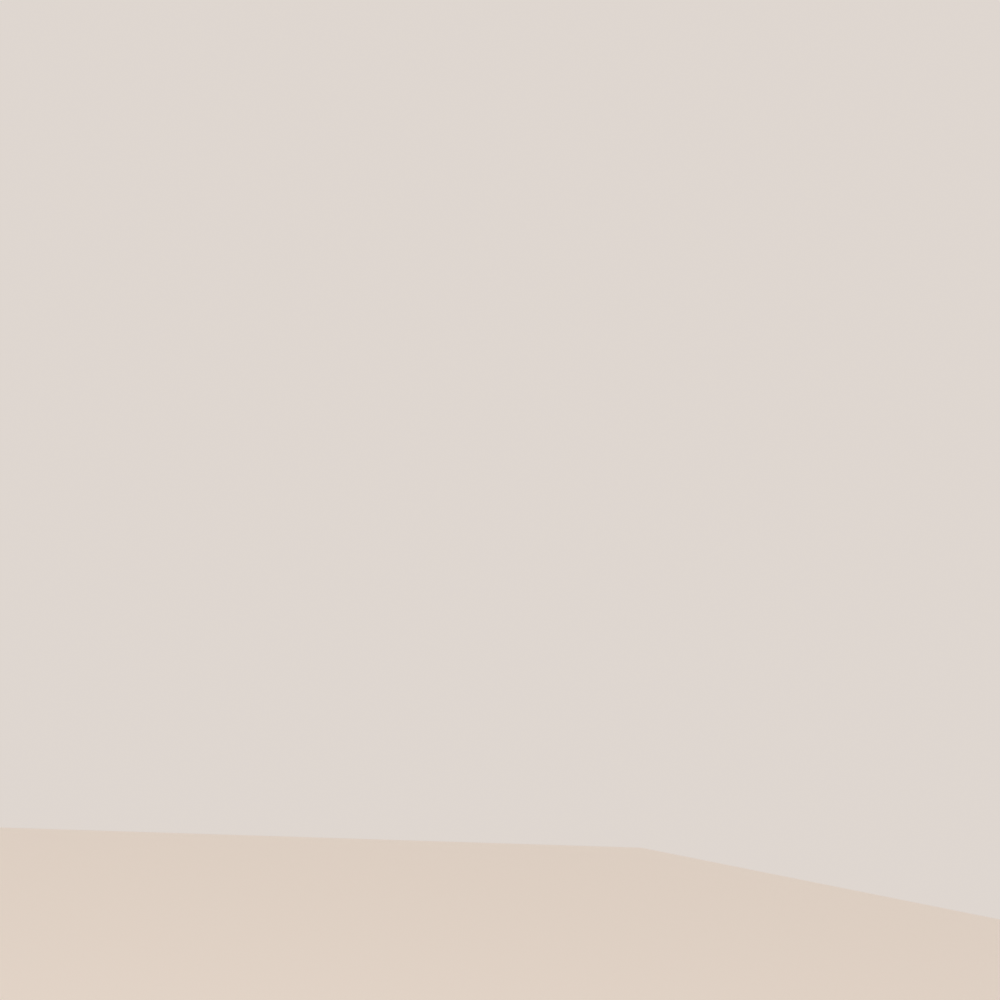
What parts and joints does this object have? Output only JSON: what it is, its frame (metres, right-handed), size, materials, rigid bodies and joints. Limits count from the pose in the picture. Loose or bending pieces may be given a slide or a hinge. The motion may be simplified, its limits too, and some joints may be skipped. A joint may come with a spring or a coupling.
{
  "type": "renaissance lute",
  "caption": "Renaissance lute with a ribbed bowl, pierced rose, tied gut frets and a bent-back pegbox with turning pegs",
  "frame": {"origin": "the middle of the nut's front edge, in the plane of the fingerboard and the soundboard", "axes": "+Z along the neck towards the nut, -Y out of the soundboard, +X the treble side"},
  "size_m": [0.309, 0.1997, 0.7327],
  "materials": {
    "spruce": "satin",
    "light_rib": "gloss",
    "dark_rib": "gloss",
    "maple": "satin",
    "ebony": "satin",
    "pearwood": "satin",
    "bone": "satin",
    "gut": "satin",
    "copper": "satin"
  },
  "bodies": {
    "root": {"rib_01": "light_rib", "rib_02": "dark_rib", "rib_03": "light_rib", "rib_04": "dark_rib", "rib_05": "light_rib", "rib_06": "dark_rib", "rib_07": "light_rib", "rib_08": "dark_rib", "rib_09": "light_rib", "rib_10": "dark_rib", "rib_11": "light_rib", "rib_12": "dark_rib", "rib_13": "light_rib", "end_clasp": "light_rib", "strap_button": "pearwood", "edging": "ebony", "neck": "maple", "fingerboard": "ebony", "soundboard": "spruce", "rose": "spruce", "nut": "bone", "pegbox_treble_cheek": "maple", "pegbox_bass_cheek": "maple", "pegbox_back": "maple", "bridge": "pearwood", "bridge_cap": "ebony", "fret_1": "gut", "fret_2": "gut", "fret_3": "gut", "fret_4": "gut", "fret_5": "gut", "fret_6": "gut", "fret_7": "gut", "fret_8": "gut", "string_1": "gut", "string_2a": "gut", "string_2b": "gut", "string_3a": "gut", "string_3b": "gut", "string_4a": "gut", "string_4b": "gut", "string_5a": "copper", "string_5b": "gut", "string_6a": "copper", "string_6b": "gut", "string_7a": "copper", "string_7b": "gut"},
    "peg_01": {"peg_01": "ebony"},
    "peg_02": {"peg_02": "ebony"},
    "peg_03": {"peg_03": "ebony"},
    "peg_04": {"peg_04": "ebony"},
    "peg_05": {"peg_05": "ebony"},
    "peg_06": {"peg_06": "ebony"},
    "peg_07": {"peg_07": "ebony"},
    "peg_08": {"peg_08": "ebony"},
    "peg_09": {"peg_09": "ebony"},
    "peg_10": {"peg_10": "ebony"},
    "peg_11": {"peg_11": "ebony"},
    "peg_12": {"peg_12": "ebony"},
    "peg_13": {"peg_13": "ebony"}
  },
  "joints": [
    {"name": "peg_01_turn", "type": "hinge", "parent": "root", "child": "peg_01", "pos_m": [0, 0.02899, -0.00002], "axis": [1, 0, 0], "continuous": true},
    {"name": "peg_02_turn", "type": "hinge", "parent": "root", "child": "peg_02", "pos_m": [0, 0.04044, 0.00243], "axis": [1, 0, 0], "continuous": true},
    {"name": "peg_03_turn", "type": "hinge", "parent": "root", "child": "peg_03", "pos_m": [0, 0.05188, 0.00489], "axis": [1, 0, 0], "continuous": true},
    {"name": "peg_04_turn", "type": "hinge", "parent": "root", "child": "peg_04", "pos_m": [0, 0.06332, 0.00734], "axis": [1, 0, 0], "continuous": true},
    {"name": "peg_05_turn", "type": "hinge", "parent": "root", "child": "peg_05", "pos_m": [0, 0.07476, 0.0098], "axis": [1, 0, 0], "continuous": true},
    {"name": "peg_06_turn", "type": "hinge", "parent": "root", "child": "peg_06", "pos_m": [0, 0.0862, 0.01225], "axis": [1, 0, 0], "continuous": true},
    {"name": "peg_07_turn", "type": "hinge", "parent": "root", "child": "peg_07", "pos_m": [0, 0.09765, 0.0147], "axis": [1, 0, 0], "continuous": true},
    {"name": "peg_08_turn", "type": "hinge", "parent": "root", "child": "peg_08", "pos_m": [0, 0.10909, 0.01716], "axis": [1, 0, 0], "continuous": true},
    {"name": "peg_09_turn", "type": "hinge", "parent": "root", "child": "peg_09", "pos_m": [0, 0.12053, 0.01961], "axis": [1, 0, 0], "continuous": true},
    {"name": "peg_10_turn", "type": "hinge", "parent": "root", "child": "peg_10", "pos_m": [0, 0.13197, 0.02207], "axis": [1, 0, 0], "continuous": true},
    {"name": "peg_11_turn", "type": "hinge", "parent": "root", "child": "peg_11", "pos_m": [0, 0.14341, 0.02452], "axis": [1, 0, 0], "continuous": true},
    {"name": "peg_12_turn", "type": "hinge", "parent": "root", "child": "peg_12", "pos_m": [0, 0.15486, 0.02698], "axis": [1, 0, 0], "continuous": true},
    {"name": "peg_13_turn", "type": "hinge", "parent": "root", "child": "peg_13", "pos_m": [0, 0.1663, 0.02943], "axis": [1, 0, 0], "continuous": true}
  ]
}
